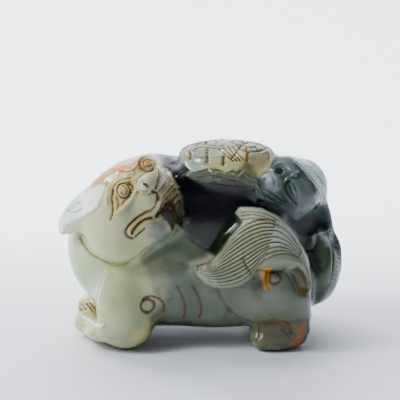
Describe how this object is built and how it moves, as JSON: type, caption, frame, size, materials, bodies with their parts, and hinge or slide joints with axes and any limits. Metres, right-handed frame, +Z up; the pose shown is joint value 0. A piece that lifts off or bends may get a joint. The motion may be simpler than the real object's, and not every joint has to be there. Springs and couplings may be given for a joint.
{
  "type": "jade beast carving",
  "caption": "Recumbent lion looking back at a cub on its rump, with a ribboned ball on its back, carved in the round from one jade pebble; stands on its feet.",
  "frame": {"origin": "on the table, under the middle of the carving", "axes": "+X from the lion's chest to the cub's back, -Y the side that the lion's face turns to, +Z up"},
  "size_m": [0.0802, 0.045, 0.0553],
  "materials": {
    "jade": null
  },
  "bodies": {
    "root": {"beast_carving": "jade"}
  },
  "joints": []
}
